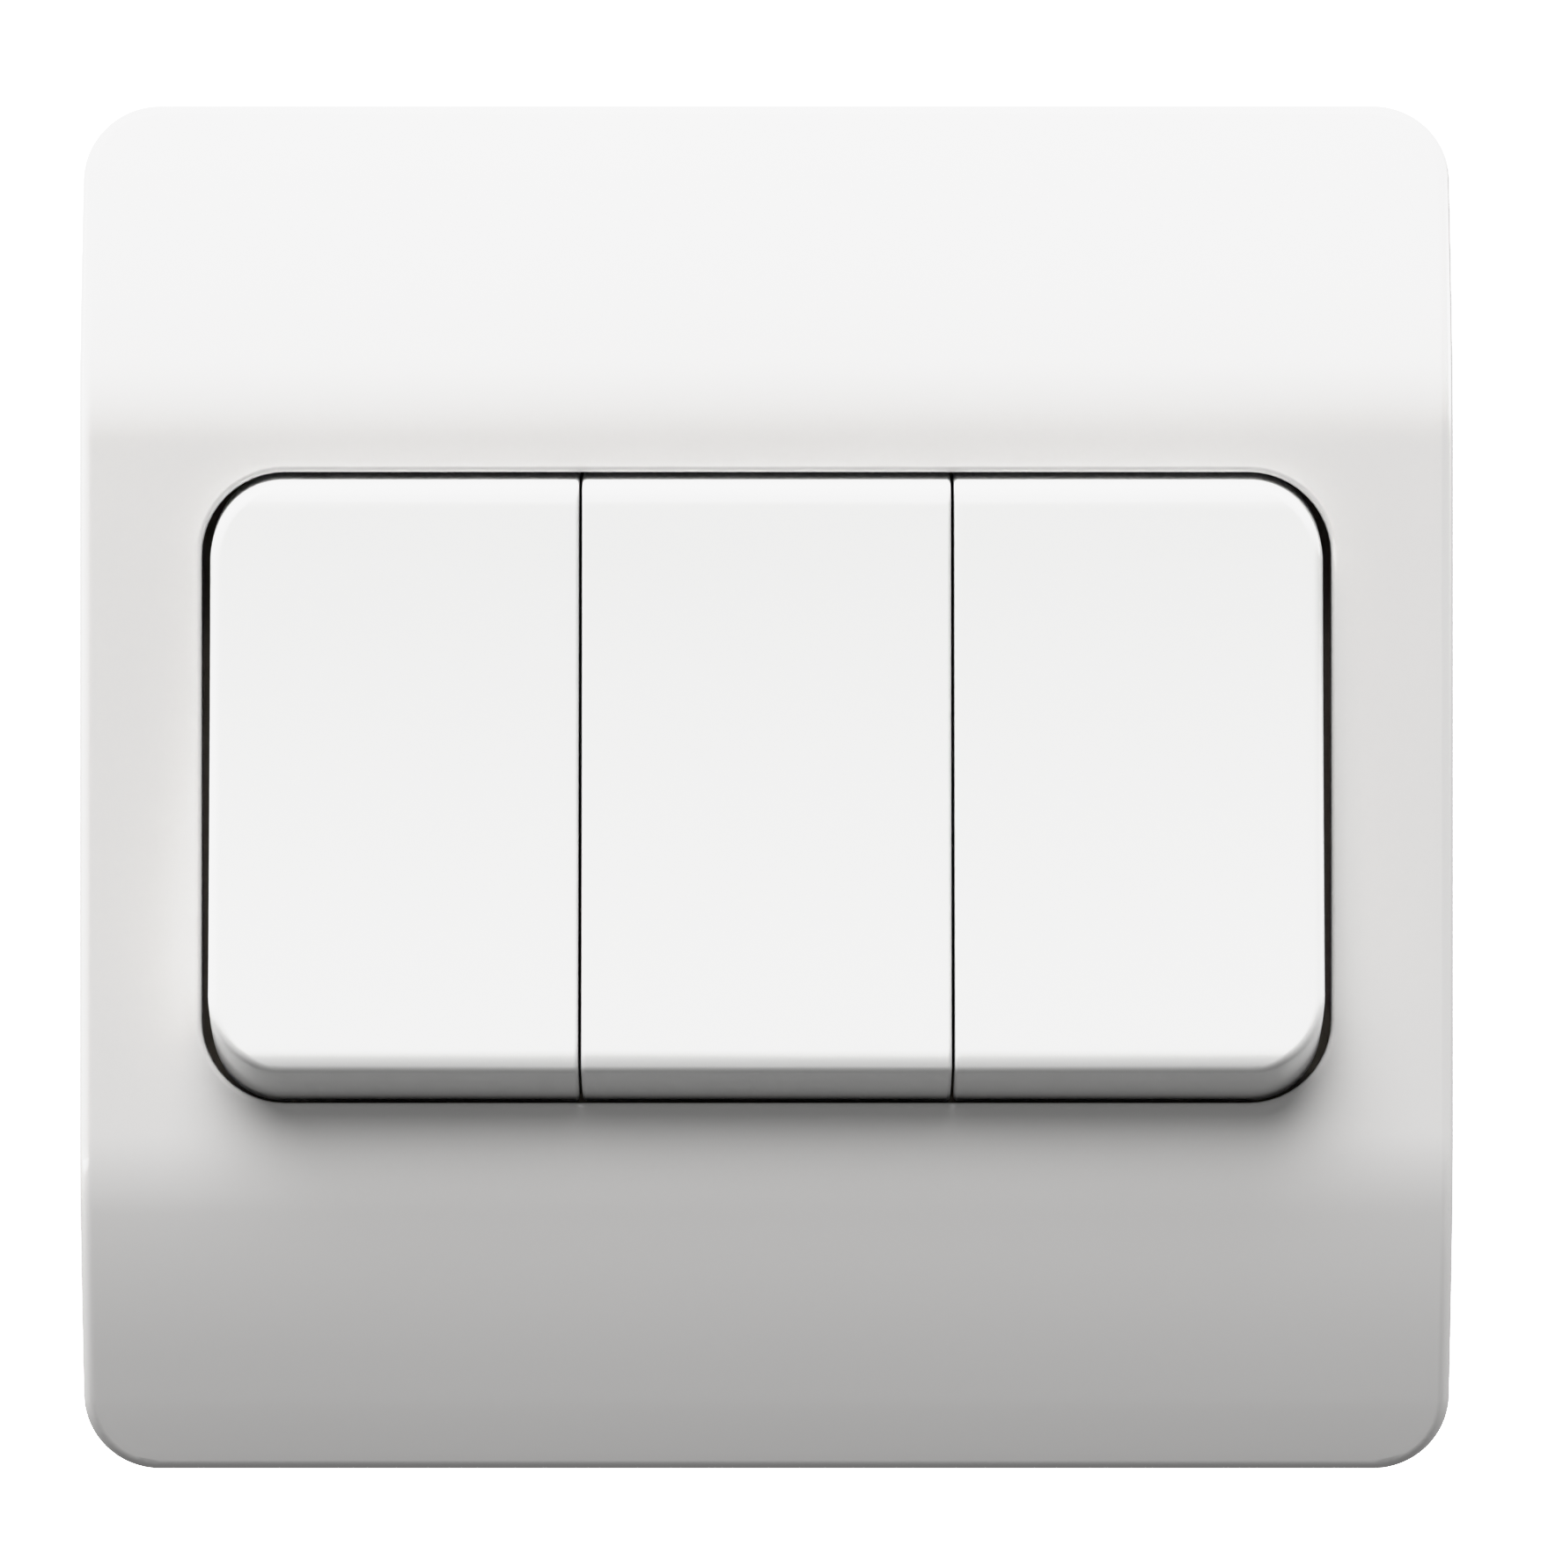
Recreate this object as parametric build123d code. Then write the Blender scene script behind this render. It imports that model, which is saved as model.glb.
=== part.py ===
from build123d import *
import math
import os

# Three-gang wide-rocker wall switch on a single-size plate. Millimetres.
# X to the right, Y into the wall, Z up. The front faces -Y.
# Origin: middle of the plate's back rim, on the wall surface (y = 0).

# --- fits and small gaps ---
running_gap = 0.05
clip_gap = 0.05
apart = 0.3
weld = 0.2

# --- plate ---
plate_side = 86.0
plate_corner_r = 4.7
plate_depth = 10.0
plate_wall = 2.2
plate_edge_r = 0.85
flat_half_height = 21.7
crease_r = 29.0
crease_angle = 10.0
edge_slope = 20.0
plate_rib = 1.2
plate_rib_pitch = 20.0
plate_rib_recess = 2.2

# --- aperture and the well behind it ---
aperture_width = 70.7
aperture_height = 39.5
aperture_corner_r = 5.2
lip_depth = 1.0
lip_round = 0.35
well_wall = 1.6
well_end_gap = 0.55
well_side_gap = 0.3

# --- rockers ---
gang_names = ("left", "middle", "right")
pivot_depth = 6.0
rocker_throw = 9.0
cap_end_gap = 0.6
cap_side_gap = 0.6
cap_gap = 0.2
cap_corner_r = 4.5
cap_stand_out = 2.4
cap_dish = 0.4
cap_roll_r = 3.0
cap_roll_angle = 34.0
cap_roll_width = 1.25
cap_edge_r = 0.7
cap_inner_edge_r = 0.25
cap_wall = 1.6
cap_rim_depth = 2.5
cap_rib = 1.1
cap_rib_height = 1.6
cap_rib_z = 12.5
socket_wall = 1.2
socket_height = 2.9
socket_side_gap = 0.08

# --- carrier and its bearings ---
carrier_width = 9.0
carrier_length = 12.2
carrier_head = 1.5
carrier_cheek = 1.2
carrier_cheek_r = 3.2
carrier_web = 1.2
nub_width = 3.6
nub_height = 0.5
nub_thickness = 0.9
trunnion_r = 1.5
trunnion_length = 1.5
bearing_snap = 0.4
bearing_thickness = 1.5
bearing_above = 1.9
bearing_behind = 1.8
bearing_half_height = 3.6

# --- plunger ---
plunger_r = 1.6
plunger_tip_r = 1.0
plunger_reach = 12.0
plunger_gap = 0.06
tube_wall = 0.9
tube_reach = 7.5
plunger_back = 4.7
plunger_shoulder = 9.4
bore_back = 0.4
spring_wire_r = 0.16
spring_turns = 6.5
spring_side_gap = 0.1

# --- bearing frame ---
frame_front = 3.2
frame_thickness = 2.0
frame_half_height = 31.0
frame_corner_r = 4.0
frame_opening_height = 14.0
frame_side_gap = 0.5
peg_width = 3.0
fixing_centres = 60.3
fixing_boss_gap = 0.25
ear_screw_x = 13.0
ear_screw_z = 26.4
flange_screw_x = 31.0
flange_screw_z = 26.6
boss_r = 2.6
boss_height = 2.6

# --- see-saw contact ---
blade_width = 5.0
blade_length = 20.4
blade_thickness = 0.8
blade_corner_r = 0.9
blade_throw = 19.0
blade_pin_r = 0.5
blade_pin_overhang = 1.3
plunger_to_blade = 0.2
tip_reach = 9.0
tip_r = 1.5
tip_height = 0.7
tip_dome_r = 4.0
closed_gap = 0.05

# --- terminals ---
strip_thickness = 0.8
strip_width = 4.6
pillar_width = 5.6
pillar_depth = 8.0
pillar_length = 7.0
pillar_front = 9.6
pillar_corner_r = 0.5
pillar_side_gap = 0.1
wire_r = 1.7
wire_depth = 12.1
wire_stop = 0.8
terminal_screw_r = 1.5
terminal_head_r = 2.1
common_strip_gap = 1.25
lug_width = 4.0
lug_side_gap = 0.5
lug_front = 1.3

# --- housing ---
housing_height = 46.0
housing_back = 20.0
housing_wall = 1.5
housing_side_wall = 1.4
housing_corner_r = 1.2
housing_edge_r = 0.8
partition_wall = 1.2
barrier_thickness = 0.8
barrier_gap = 0.5
wire_entry_gap = 0.5
ear_r = 3.6
ear_thickness = 3.0

# --- screws ---
fixing_screw_r = 1.75
fixing_neck_r = 1.45
fixing_neck_gap = 0.45
fixing_neck_end = 0.8
fixing_head_r = 3.2
fixing_head_rim = 0.4
fixing_end = 22.0
small_screw_r = 1.25
small_head_r = 2.4
flange_head = 1.05
housing_head = 1.5
through_gap = 0.2
slot_half_width = 0.35
screw_chamfer = 0.3

# --- values that follow from the sizes above ---
half_side = plate_side / 2
front_y = -plate_depth
pivot_y = front_y + pivot_depth
frame_y = -frame_front
frame_back = frame_y + frame_thickness
lip_half_height = aperture_height / 2
lip_y = front_y + lip_depth
cap_end_r = math.hypot(lip_half_height - cap_end_gap, pivot_depth)
bank_width = aperture_width - 2 * cap_side_gap
cap_width = (bank_width - 2 * cap_gap) / 3
well_half_height = cap_end_r + well_end_gap
well_half_width = aperture_width / 2 + well_side_gap
cap_face = pivot_depth + cap_stand_out
cap_roll_z = math.sqrt(cap_end_r**2 - cap_face**2) - cap_roll_width
cap_ceiling = cap_face - cap_dish - cap_wall
bearing_offset = carrier_width / 2 + apart
bearing_mouth = 2 * trunnion_r - bearing_snap
blade_tilt = blade_throw / 2
rocker_tilt = rocker_throw / 2

# the outer carriers stand just inside the inner side walls of the outer rockers
gang_pitch = cap_width / 2 + cap_gap + cap_wall + socket_side_gap + carrier_width / 2

# the see-saw axis lies where the blade just clears the plunger at rest
ball_centre = plunger_reach - plunger_tip_r
ball_y = pivot_y + ball_centre * math.cos(math.radians(rocker_tilt))
ball_z = -ball_centre * math.sin(math.radians(rocker_tilt))
blade_need = plunger_tip_r + plunger_to_blade + blade_thickness / 2
blade_need += ball_z * math.sin(math.radians(blade_tilt))
blade_y = ball_y + blade_need / math.cos(math.radians(blade_tilt))

# the fixed contacts stand where the domed tips reach them
dome_centre = blade_thickness / 2 + tip_height - tip_dome_r
fixed_face_y = blade_y + dome_centre * math.cos(math.radians(blade_tilt))
fixed_face_y += tip_reach * math.sin(math.radians(blade_tilt)) + tip_dome_r + closed_gap
fixed_face_z = tip_reach * math.cos(math.radians(blade_tilt))
fixed_face_z -= dome_centre * math.sin(math.radians(blade_tilt))
strip_y = fixed_face_y + tip_height
strip_back = strip_y + strip_thickness
common_y = strip_back + common_strip_gap

# a bay is as wide as two pillars with their barrier, or as a pair of bearings if those are wider
pillar_pair = 2 * (pillar_width + barrier_gap + pillar_side_gap) + barrier_thickness
bearing_pair = 2 * (bearing_offset + bearing_thickness + apart)
bay_width = max(pillar_pair, bearing_pair)
pillar_offset = (bay_width - pillar_width) / 2 - pillar_side_gap
housing_width = 2 * gang_pitch + bay_width + 2 * housing_side_wall
pillar_end = housing_height / 2 - housing_wall - weld
pillar_start = pillar_end - pillar_length
pillar_middle = (pillar_start + pillar_end) / 2
pillar_back = pillar_front + pillar_depth
floor_y = housing_back - housing_wall
lug_inner = blade_width / 2 + lug_side_gap
lug_outer = lug_inner + strip_thickness
fixing_head = fixing_head_r - fixing_neck_r
fixing_boss_r = (fixing_centres - housing_width) / 2 - fixing_boss_gap


def box(x0, x1, y0, y1, z0, z1):
    """A box between two corners."""
    middle = ((x0 + x1) / 2, (y0 + y1) / 2, (z0 + z1) / 2)
    return Pos(*middle) * Box(abs(x1 - x0), abs(y1 - y0), abs(z1 - z0))


def rod_y(x, z, y0, y1, r):
    """A round rod along Y."""
    return Pos(x, (y0 + y1) / 2, z) * Rot(90, 0, 0) * Cylinder(r, abs(y1 - y0))


def rod_x(x0, x1, y, z, r):
    """A round rod along X."""
    return Pos((x0 + x1) / 2, y, z) * Rot(0, 90, 0) * Cylinder(r, abs(x1 - x0))


def rod_z(x, y, z0, z1, r):
    """A round rod along Z."""
    return Pos(x, y, (z0 + z1) / 2) * Cylinder(r, abs(z1 - z0))


def slab(width, height, corner_r, y0, y1):
    """A rounded rectangle in the XZ plane, extruded from y0 to y1."""
    outline = Plane.XZ.offset(-y0) * RectangleRounded(width, height, corner_r)
    return extrude(outline, amount=-(y1 - y0))


def turned(shape, angle, y):
    """The shape turned about the X axis line at depth y, z = 0."""
    return shape.rotate(Axis((0, y, 0), (1, 0, 0)), angle)


def gang_x(gang):
    return (gang - 1) * gang_pitch


def plate_profile(inset):
    """Side view of the plate: flat band, soft crease and curved top and bottom."""
    reach = half_side + 5
    lines = []
    top_point = Vector(front_y + inset, flat_half_height)
    crease = CenterArc(
        (front_y + crease_r, flat_half_height),
        crease_r - inset,
        180 - crease_angle,
        crease_angle,
    )
    curve_length = half_side - flat_half_height - crease_r * math.sin(math.radians(crease_angle))
    spread = math.sin(math.radians(edge_slope)) - math.sin(math.radians(crease_angle))
    curve_r = curve_length / spread
    crease_y = front_y + crease_r - (crease_r - curve_r) * math.cos(math.radians(crease_angle))
    crease_z = flat_half_height + (crease_r - curve_r) * math.sin(math.radians(crease_angle))
    curve = CenterArc(
        (crease_y, crease_z),
        curve_r - inset,
        180 - edge_slope - 2,
        edge_slope + 2 - crease_angle,
    )
    end = curve @ 0
    lines.append(Line(Vector(top_point.X, 0), top_point))
    lines.append(crease)
    lines.append(curve)
    lines.append(Line(end, (end.X, reach)))
    lines.append(Line((end.X, reach), (0, reach)))
    lines.append(Line((0, reach), (0, 0)))
    lines.append(Line((0, 0), Vector(top_point.X, 0)))
    half = make_face(Curve() + lines)
    upper = extrude(Plane.YZ * half, amount=half_side, both=True)
    return upper + mirror(upper, about=Plane.XY)


def plate_body(inset):
    """The plate's outer block, or the hollow inside it when inset by the wall."""
    side = plate_side - 2 * inset
    outline = slab(side, side, plate_corner_r - inset * 0.9, front_y - 1, 0)
    return plate_profile(inset) & outline


def plate_lip(body):
    """The front edges of the aperture."""
    edges = body.edges().filter_by_position(Axis.Y, front_y - 0.01, front_y + 0.01)
    edges = [e for e in edges if abs(e.center().Z) < lip_half_height + 0.1]
    return [e for e in edges if abs(e.center().X) < aperture_width / 2 + 0.1]


def plate_rim(body):
    """The outer front edges of the plate's block."""
    edges = body.edges().filter_by_position(Axis.Y, front_y - 0.1, -1.0)
    edges = [e for e in edges if max(abs(e.center().X), abs(e.center().Z)) > half_side - 2]
    return [e for e in edges if e.bounding_box().size.Y < plate_depth / 2]


def flange_places():
    return [(sx * flange_screw_x, sz * flange_screw_z) for sx in (-1, 1) for sz in (-1, 1)]


def front_plate():
    body = plate_body(0)
    body = fillet(plate_rim(body), plate_edge_r)
    hollow = plate_body(plate_wall)
    width = 2 * well_half_width
    height = 2 * well_half_height
    wall = 2 * well_wall
    tower = slab(width + wall, height + wall, aperture_corner_r + well_wall, front_y, frame_y)
    body = body - (hollow - tower)
    body -= slab(width, height, aperture_corner_r, lip_y, frame_y)
    body -= slab(width + wall, height + wall, aperture_corner_r, frame_y, 1)
    body -= slab(aperture_width, aperture_height, aperture_corner_r, front_y - 1, lip_y + lip_depth / 2)
    body = fillet(plate_lip(body), lip_round)
    inside = plate_body(plate_wall - weld)
    screw_top = front_y + plate_wall
    for x, z in flange_places():
        body += rod_y(x, z, front_y, frame_y, boss_r) & inside
        body -= rod_y(x, z, screw_top + 2 * apart, frame_y + 1, small_screw_r + running_gap)
    rib_start = frame_half_height + plate_rib
    rib_end = half_side - plate_wall + weld
    for side in (-1, 1):
        for place in (-1, 0, 1):
            x = place * plate_rib_pitch
            half = plate_rib / 2
            rib = box(x - half, x + half, front_y, -plate_rib_recess, side * rib_start, side * rib_end)
            body += rib & inside
    return body


def bearing_cheek(x0, x1):
    """One upright of a rocker bearing, with its snap-in mouth towards the front."""
    top = pivot_y - bearing_above
    cheek = box(x0, x1, top, frame_back + bearing_behind, -bearing_half_height, bearing_half_height)
    cheek = fillet(cheek.edges().filter_by(Axis.X).group_by(Axis.Y)[0], bearing_thickness / 2)
    cheek -= box(x0 - 1, x1 + 1, top - 1, pivot_y, -bearing_mouth / 2, bearing_mouth / 2)
    return cheek


def frame_pegs(x):
    """The posts that hold one gang's terminals down in the housing."""
    half = peg_width / 2
    back = pillar_front - running_gap
    pegs = box(x - half, x + half, frame_back - weld, back, pillar_middle - half, pillar_middle + half)
    for side in (-1, 1):
        peg_x = x + side * pillar_offset
        pegs += box(
            peg_x - half,
            peg_x + half,
            frame_back - weld,
            back,
            -pillar_middle - half,
            -pillar_middle + half,
        )
    return pegs


def ear_places():
    return [(sx * ear_screw_x, sz * ear_screw_z) for sx in (-1, 1) for sz in (-1, 1)]


def bearing_frame():
    width = 2 * (half_side - plate_wall - frame_side_gap)
    body = slab(width, 2 * frame_half_height, frame_corner_r, frame_y, frame_back)
    half_opening = carrier_width / 2 + apart
    half_z = frame_opening_height / 2
    bore_r = trunnion_r + running_gap
    for gang in range(3):
        x = gang_x(gang)
        body -= box(x - half_opening, x + half_opening, frame_y - 1, frame_back + 1, -half_z, half_z)
        for side in (-1, 1):
            ends = sorted((x + side * bearing_offset, x + side * (bearing_offset + bearing_thickness)))
            body += bearing_cheek(*ends)
            body -= rod_x(ends[0] - 1, ends[1] + 1, pivot_y, 0, bore_r)
        body += frame_pegs(x)
    for side in (-1, 1):
        x = side * fixing_centres / 2
        body += rod_y(x, 0, frame_back - weld, 0, fixing_boss_r)
        body -= rod_y(x, 0, frame_y - 1, 1, fixing_neck_r + fixing_neck_gap)
        sink = Cone(fixing_neck_r + running_gap, fixing_head_r + running_gap, fixing_head)
        body -= Pos(x, frame_y + fixing_head / 2, 0) * Rot(90, 0, 0) * sink
    for x, z in ear_places():
        body += rod_y(x, z, frame_y - boss_height, frame_y + weld, boss_r)
        body -= rod_y(x, z, frame_y - boss_height + 2 * apart, frame_back + 1, small_screw_r + running_gap)
    for x, z in flange_places():
        body -= rod_y(x, z, frame_y - 1, frame_back + 1, small_screw_r + through_gap)
    return body


def cap_block(x0, x1, inset, corners):
    """A rocker's outer form, or its hollow when inset. corners gives the radius at -X and at +X."""
    end_r = cap_end_r - inset
    front = -(cap_face - cap_dish - inset)
    if inset:
        rim = -cap_rim_depth
        half = make_face(Polyline((front, 0), (front, cap_end_r), (rim, cap_end_r), (rim, 0), (front, 0)))
    else:
        dish_r = cap_roll_z**2 / (2 * cap_dish)
        angle = math.degrees(math.asin(cap_roll_z / dish_r))
        dish = CenterArc((front - dish_r, 0), dish_r, 0, angle)
        bend = dish @ 1
        centre = bend + Vector(math.cos(math.radians(angle)), math.sin(math.radians(angle))) * cap_roll_r
        roll = CenterArc(centre, cap_roll_r, 180 + angle, -(angle + cap_roll_angle))
        leave = roll @ 1
        slope = math.radians(cap_roll_angle)
        out = leave + Vector(math.sin(slope), math.cos(slope)) * 3
        half = make_face(
            Curve()
            + [
                dish,
                roll,
                Line(leave, out),
                Line(out, (-cap_rim_depth, out.Y)),
                Line((-cap_rim_depth, out.Y), (-cap_rim_depth, 0)),
                Line((-cap_rim_depth, 0), (front, 0)),
            ]
        )
    upper = extrude(Plane.YZ.offset(x0 + inset) * half, amount=x1 - x0 - 2 * inset)
    body = upper + mirror(upper, about=Plane.XY)
    body = body & rod_x(x0 - 1, x1 + 1, 0, 0, end_r)
    for side, radius in ((x0 + inset, corners[0]), (x1 - inset, corners[1])):
        if radius > inset:
            body = fillet(upright_corners(body, side), radius - inset)
    return body


def upright_corners(body, side):
    """The curved corner edges of a cap at one of its sides."""
    edges = body.edges()
    edges = [e for e in edges if abs(e.center().X - side) < 0.01 and abs(e.center().Z) > cap_end_r * 0.8]
    return [e for e in edges if e.bounding_box().size.Y > 2]


def cap_span(gang):
    left = -bank_width / 2 + gang * (cap_width + cap_gap)
    return left, left + cap_width


def cap_ribs(gang):
    """The stiffening ribs under a rocker's face and the clip socket of its carrier."""
    x0, x1 = cap_span(gang)
    x = gang_x(gang)
    root = -cap_ceiling - 1
    half_rib = cap_rib / 2
    rib_top = -cap_ceiling + cap_rib_height
    ribs = Part()
    for z in (-cap_rib_z, cap_rib_z):
        ribs += box(x0, x1, root, rib_top, z - half_rib, z + half_rib)
    for rib_x in (x0 + cap_width / 3, x1 - cap_width / 3):
        ribs += box(rib_x - half_rib, rib_x + half_rib, root, rib_top - apart, -cap_end_r, cap_end_r)
    half = carrier_width / 2
    reach = carrier_length / 2 + clip_gap
    socket_top = -cap_ceiling + socket_height
    for side in (-1, 1):
        ribs += box(x - half, x + half, root, socket_top, side * reach, side * (reach + socket_wall))
    side_reach = half + clip_gap
    clear = box(x - side_reach, x + side_reach, -cap_ceiling, socket_top + 2, -reach, reach)
    half_window = nub_width / 2 + weld
    window_start = -cap_ceiling + clip_gap + carrier_head / 3 - weld
    window_end = window_start + nub_thickness + 2 * weld + clip_gap
    window_reach = reach + socket_wall + 1
    windows = box(x - half_window, x + half_window, window_start, window_end, -window_reach, window_reach)
    return ribs - clear - windows


def rocker_cap(gang):
    x0, x1 = cap_span(gang)
    corners = (cap_corner_r if gang == 0 else 0, cap_corner_r if gang == 2 else 0)
    spare = 3.0
    wide = (x0 if gang == 0 else x0 - spare, x1 if gang == 2 else x1 + spare)
    body = cap_block(*wide, 0, corners)
    spare_sides = [side for side in wide if side not in (x0, x1)]
    rounded = [e for e in body.edges() if is_face_edge(e) and not lies_on(e, spare_sides)]
    body = fillet(rounded, cap_edge_r)
    body = body & box(x0, x1, -cap_face - 5, 0, -cap_end_r, cap_end_r)
    inner_sides = [side for side in (x0, x1) if side not in wide]
    inner = [e for e in body.edges() if lies_on(e, inner_sides) and e.center().Y < -cap_rim_depth - 0.1]
    body = fillet(inner, cap_inner_edge_r)
    hollow = cap_block(x0, x1, cap_wall, corners)
    return body - (hollow - cap_ribs(gang))


def is_face_edge(edge):
    """Whether an edge bounds the rocker's pressed face. The seams of its roll don't count."""
    box_of_edge = edge.bounding_box()
    seam = box_of_edge.size.Z < 0.01 and abs(abs(edge.center().Z) - cap_roll_z) < 0.1
    on_face = edge.center().Y < -cap_face + cap_dish + 0.35 and box_of_edge.max.Y < -cap_rim_depth - 3
    return on_face and not seam


def lies_on(edge, sides):
    """Whether an edge lies in one of the given planes across X."""
    bounds = edge.bounding_box()
    return any(abs(bounds.min.X - side) < 0.01 and abs(bounds.max.X - side) < 0.01 for side in sides)


def clip_nub(x, side, top):
    """A snap-in nub on one end of a carrier's head, with a lead-in slope."""
    start = top + carrier_head / 3
    end_z = carrier_length / 2
    nub = box(
        x - nub_width / 2,
        x + nub_width / 2,
        start,
        start + nub_thickness,
        side * (end_z - apart),
        side * (end_z + nub_height),
    )
    lead = nub.edges().filter_by(Axis.X).group_by(Axis.Y)[-1].sort_by(lambda e: abs(e.center().Z))[-1]
    return chamfer(lead, nub_height * 0.8)


def rocker_carrier(gang):
    x = gang_x(gang)
    half = carrier_width / 2
    top = -cap_ceiling + clip_gap
    under = top + carrier_head
    root = under - weld
    body = box(x - half, x + half, top, under, -carrier_length / 2, carrier_length / 2)
    cut_back = carrier_cheek_r - carrier_cheek
    for side in (-1, 1):
        body += clip_nub(x, side, top)
        ends = sorted((x + side * (half - carrier_cheek), x + side * half))
        cheek = box(*ends, root, 0, -carrier_cheek_r, carrier_cheek_r) + rod_x(*ends, 0, 0, carrier_cheek_r)
        body += cheek & box(*ends, root, cut_back, -carrier_cheek_r, carrier_cheek_r)
        body += rod_x(*sorted((x + side * half, x + side * (half + trunnion_length))), 0, 0, trunnion_r)
    inner = half - weld
    body += box(x - inner, x + inner, root, cut_back - weld, -carrier_web / 2, carrier_web / 2)
    bore_r = plunger_r + plunger_gap
    body += rod_y(x, 0, root, tube_reach, bore_r + tube_wall)
    body -= rod_y(x, 0, bore_back, tube_reach + 1, bore_r)
    return body


def plunger(gang):
    x = gang_x(gang)
    body = rod_y(x, 0, plunger_back, plunger_shoulder, plunger_r)
    shoulder = body.edges().filter_by(GeomType.CIRCLE).group_by(Axis.Y)[-1]
    body = chamfer(shoulder, (plunger_r - plunger_tip_r) * 2 / 3)
    body += rod_y(x, 0, plunger_shoulder - weld, ball_centre, plunger_tip_r)
    body += Pos(x, ball_centre, 0) * Sphere(plunger_tip_r)
    return body


def plunger_spring(gang):
    length = plunger_back - bore_back - 2 * clip_gap - 2 * spring_wire_r
    mean_r = plunger_r - spring_wire_r - spring_side_gap
    path = Helix(length / spring_turns, length, mean_r)
    wire = sweep(Plane(origin=path @ 0, z_dir=path % 0) * Circle(spring_wire_r), path=path, is_frenet=True)
    start = bore_back + clip_gap + spring_wire_r
    return Pos(gang_x(gang), start, 0) * Rot(-90, 0, 0) * wire


def in_rest_place(shape):
    """Moves a rocker piece from its own pivot to the rest pose: top pressed in."""
    return turned(Pos(0, pivot_y, 0) * shape, -rocker_tilt, pivot_y)


def moving_contact(gang):
    x = gang_x(gang)
    half = blade_thickness / 2
    blade = box(x - blade_width / 2, x + blade_width / 2, -half, half, -blade_length / 2, blade_length / 2)
    blade = fillet(blade.edges().filter_by(Axis.Y), blade_corner_r)
    reach = blade_width / 2 + blade_pin_overhang
    blade += rod_x(x - reach, x + reach, 0, 0, blade_pin_r)
    return turned(Pos(0, blade_y, 0) * blade, blade_tilt, blade_y)


def domed_tip(x, z, back, direction):
    """A contact rivet's head: a short disc with a domed end."""
    disc = rod_y(x, z, back, back + direction * tip_height, tip_r)
    return disc & (Pos(x, back + direction * (tip_height - tip_dome_r), z) * Sphere(tip_dome_r))


def moving_contact_tips(gang):
    x = gang_x(gang)
    tips = [domed_tip(x, side * tip_reach, blade_thickness / 2, 1) for side in (-1, 1)]
    return [turned(Pos(0, blade_y, 0) * tip, blade_tilt, blade_y) for tip in tips]


def fixed_contact_tips(gang):
    x = gang_x(gang)
    return [rod_y(x, side * fixed_face_z, fixed_face_y, strip_y, tip_r) for side in (-1, 1)]


def terminal_pillar(x, side):
    """The brass block that takes the wire, with its bore and screw hole. side is +1 at the top."""
    half = pillar_width / 2
    block = box(x - half, x + half, pillar_front, pillar_back, side * pillar_start, side * pillar_end)
    block = fillet(block.edges().filter_by(Axis.Z), pillar_corner_r)
    block -= rod_z(x, wire_depth, side * (pillar_start + wire_stop), side * (pillar_end + 1), wire_r)
    hole_r = terminal_screw_r + running_gap
    block -= rod_y(x, side * pillar_middle, wire_depth, pillar_back + 1, hole_r)
    return block


def contact_pad(x, side):
    """The strip that carries a fixed contact."""
    half = blade_width / 2
    near = fixed_face_z - tip_r - 2 * apart
    far = pillar_start - 4 * apart
    return box(x - half, x + half, strip_y, strip_back, side * near, side * far)


def contact_link(x0, x1, side):
    """The end of a strip that meets its pillar."""
    near = pillar_start - 5 * apart
    return box(x0, x1, strip_y, strip_back, side * near, side * (pillar_start + apart))


def l1_terminal(gang):
    x = gang_x(gang)
    half = blade_width / 2
    link = contact_link(x - half, x + half, 1)
    return terminal_pillar(x, 1) + contact_pad(x, 1) + link


def l2_terminal(gang):
    x = gang_x(gang)
    pillar_x = x + pillar_offset
    link = contact_link(x, pillar_x + pillar_width / 2 - apart, -1)
    return terminal_pillar(pillar_x, -1) + contact_pad(x, -1) + link


def common_terminal(gang):
    x = gang_x(gang)
    back = common_y + strip_thickness
    half_lug = lug_width / 2
    body = terminal_pillar(x - pillar_offset, -1)
    body += box(x - lug_outer, x + lug_outer, common_y, back, -half_lug, half_lug)
    strip_x = x - pillar_offset
    half_strip = strip_width / 2
    body += box(strip_x - half_strip, strip_x + half_strip, common_y, back, -(pillar_start + apart), half_lug)
    notch_r = blade_pin_r + running_gap
    for side in (-1, 1):
        ends = sorted((x + side * lug_inner, x + side * lug_outer))
        lug = box(*ends, blade_y - lug_front, common_y + weld, -half_lug, half_lug)
        lug = fillet(lug.edges().filter_by(Axis.X).group_by(Axis.Y)[0], strip_thickness * 0.75)
        lug -= rod_x(ends[0] - 1, ends[1] + 1, blade_y, 0, notch_r)
        lug -= box(ends[0] - 1, ends[1] + 1, blade_y - 2 * lug_front, blade_y, -notch_r, notch_r)
        body += lug
    return body


def slotted_screw(x, z, tip, under, head_r, head, shank_r):
    """A slotted cheese-head screw whose head faces +Y."""
    shank = rod_y(x, z, tip, under, shank_r)
    shank = chamfer(shank.edges().filter_by(GeomType.CIRCLE).group_by(Axis.Y)[0], screw_chamfer)
    top = rod_y(x, z, under, under + head, head_r)
    top = fillet(top.edges().filter_by(GeomType.CIRCLE).group_by(Axis.Y)[-1], head / 4)
    slot_start = under + head / 2
    top -= box(x - head_r, x + head_r, slot_start, under + head + 1, z - slot_half_width, z + slot_half_width)
    return shank + top


def terminal_places(gang):
    x = gang_x(gang)
    return (
        (x, pillar_middle),
        (x - pillar_offset, -pillar_middle),
        (x + pillar_offset, -pillar_middle),
    )


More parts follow.
